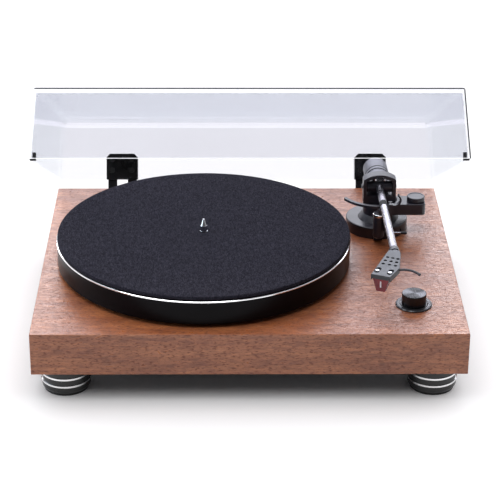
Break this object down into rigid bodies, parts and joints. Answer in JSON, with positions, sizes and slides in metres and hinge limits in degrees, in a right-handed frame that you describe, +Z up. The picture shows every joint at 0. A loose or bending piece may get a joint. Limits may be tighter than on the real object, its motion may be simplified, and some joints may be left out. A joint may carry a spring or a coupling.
{
  "type": "turntable record player",
  "caption": "Belt-drive record player: wooden plinth on turned feet, felt-topped platter, straight counterbalanced tonearm, speed knob and hinged clear dust cover.",
  "frame": {"origin": "centre of the plinth's plan, on the surface that the feet stand on", "axes": "+Z up, -Y towards the front where the speed knob is, +X towards the tonearm side"},
  "size_m": [0.42, 0.3863, 0.2871],
  "materials": {
    "wood": "open-grained walnut veneer, satin oil",
    "board_black": "painted hardboard",
    "steel_screw": "blackened steel",
    "bright_screw": "polished",
    "foot_black": "satin black",
    "chrome_ring": "polished",
    "rubber": "matt",
    "bearing_steel": "turned",
    "bronze": "sintered",
    "motor_can": "plated",
    "circuit": "lacquered board",
    "wire": "insulated",
    "platter_metal": "satin black with a polished edge",
    "inner_platter": "moulded",
    "spindle_steel": "polished",
    "felt": "black felt",
    "knob_black": "black sides, spun bright top",
    "arm_black": "satin black",
    "arm_metal": "polished",
    "shell_grey": "satin anodised",
    "cartridge_black": "moulded",
    "stylus_red": "translucent red",
    "weight_metal": "turned",
    "gold_plate": "plated",
    "clear_acrylic": "clear acrylic",
    "hinge_black": "moulded black"
  },
  "bodies": {
    "chassis": {"arm_base": "arm_black", "arm_base_screws": "steel_screw", "arm_housing": "arm_black", "arm_rest": "arm_black", "bearing_bushes": "bronze", "bearing_housing": "bearing_steel", "bottom_cover": "board_black", "circuit_board": "circuit", "drive_belt": "rubber", "foot_bodies": "foot_black", "foot_pads": "rubber", "foot_rings": "chrome_ring", "ground_terminal": "gold_plate", "hinge_brackets": "hinge_black", "hinge_pins": "bearing_steel", "inner_screws": "bright_screw", "inner_wiring": "wire", "knob_bezel": "knob_black", "lift_tower": "arm_black", "motor": "motor_can", "motor_plate": "steel_screw", "phono_jacks": "gold_plate", "plinth": "wood", "power_inlet": "board_black", "rear_screws": "steel_screw", "speed_switch": "board_black", "swing_bearing": "bronze", "terminal_plate": "board_black", "thrust_ball": "spindle_steel", "underside_screws": "steel_screw"},
    "platter": {"platter": "platter_metal", "sub_platter": "inner_platter", "spindle": "spindle_steel", "slip_mat": "felt"},
    "motor_rotor": {"motor_pulley": "inner_platter", "motor_shaft": "bearing_steel"},
    "yoke": {"arm_yoke": "arm_black", "arm_pivot_screws": "bright_screw"},
    "tonearm": {"arm_pivot_block": "arm_black", "arm_tube": "arm_metal", "headshell_collar": "arm_black", "headshell": "shell_grey", "finger_lift": "arm_black", "cartridge_body": "cartridge_black", "stylus_assembly": "stylus_red", "cartridge_screws": "bright_screw", "counterweight_stub": "bearing_steel"},
    "weight_bush": {"counterweight_bush": "inner_platter"},
    "counterweight": {"counterweight": "weight_metal", "force_dial": "arm_black"},
    "lift_platform": {"lift_platform": "arm_black"},
    "cue_lever": {"cue_lever": "arm_metal", "cue_lever_tip": "arm_black"},
    "arm_latch": {"arm_rest_latch": "arm_black"},
    "anti_skate_knob": {"anti_skate_knob": "arm_black"},
    "speed_knob": {"speed_knob": "knob_black"},
    "dust_cover": {"dust_cover": "clear_acrylic", "lid_bumpers": "rubber", "hinge_arms": "hinge_black", "hinge_arm_screws": "bright_screw"}
  },
  "joints": [
    {"name": "platter_spin", "type": "hinge", "parent": "chassis", "child": "platter", "pos_m": [-0.0455, -0.0095, 0.0725], "axis": [0, 0, -1], "continuous": true},
    {"name": "motor_spin", "type": "hinge", "parent": "chassis", "child": "motor_rotor", "pos_m": [-0.132, 0.0405, 0.0725], "axis": [0, 0, -1], "continuous": true},
    {"name": "arm_swing", "type": "hinge", "parent": "chassis", "child": "yoke", "pos_m": [0.1393, 0.07, 0.0725], "axis": [0, 0, -1], "range_deg": [0, 50]},
    {"name": "arm_lift", "type": "hinge", "parent": "yoke", "child": "tonearm", "pos_m": [0.1393, 0.07, 0.12], "axis": [-0.9998, -0.0192, 0], "range_deg": [0, 8]},
    {"name": "weight_slide", "type": "slide", "parent": "tonearm", "child": "weight_bush", "axis": [-0.0192, 0.9998, 0], "range_m": [-0.002, 0.002]},
    {"name": "weight_turn", "type": "hinge", "parent": "weight_bush", "child": "counterweight", "pos_m": [0.1393, 0.07, 0.12], "axis": [-0.0192, 0.9998, 0], "range_deg": [-361, 361]},
    {"name": "cue_lever_turn", "type": "hinge", "parent": "chassis", "child": "cue_lever", "pos_m": [0.1505, 0.0375, 0.0805], "axis": [0, -1, 0], "range_deg": [-0.5, 70.5]},
    {"name": "lift_slide", "type": "slide", "parent": "chassis", "child": "lift_platform", "axis": [0, 0, 1], "range_m": [-0.004, 0]},
    {"name": "arm_latch_turn", "type": "hinge", "parent": "chassis", "child": "arm_latch", "pos_m": [0.1474, 0.0215, 0.12], "axis": [0, 1, 0], "range_deg": [-125, 0]},
    {"name": "anti_skate_turn", "type": "hinge", "parent": "chassis", "child": "anti_skate_knob", "pos_m": [0.1782, 0.0655, 0.1075], "axis": [0, 0, -1], "range_deg": [0, 270]},
    {"name": "speed_knob_turn", "type": "hinge", "parent": "chassis", "child": "speed_knob", "pos_m": [0.1615, -0.1105, 0.0725], "axis": [0, 0, -1], "range_deg": [-45, 45]},
    {"name": "dust_cover_hinge", "type": "hinge", "parent": "chassis", "child": "dust_cover", "pos_m": [0, 0.1825, 0.0425], "axis": [-1, 0, 0], "range_deg": [-27, 38]}
  ],
  "couplings": [
    {"joint": "motor_spin", "follows": "platter_spin", "ratio": 8.9855},
    {"joint": "weight_turn", "follows": "weight_slide", "rad_per_m": 3141.6},
    {"joint": "cue_lever_turn", "follows": "lift_slide", "rad_per_m": -305.43}
  ]
}
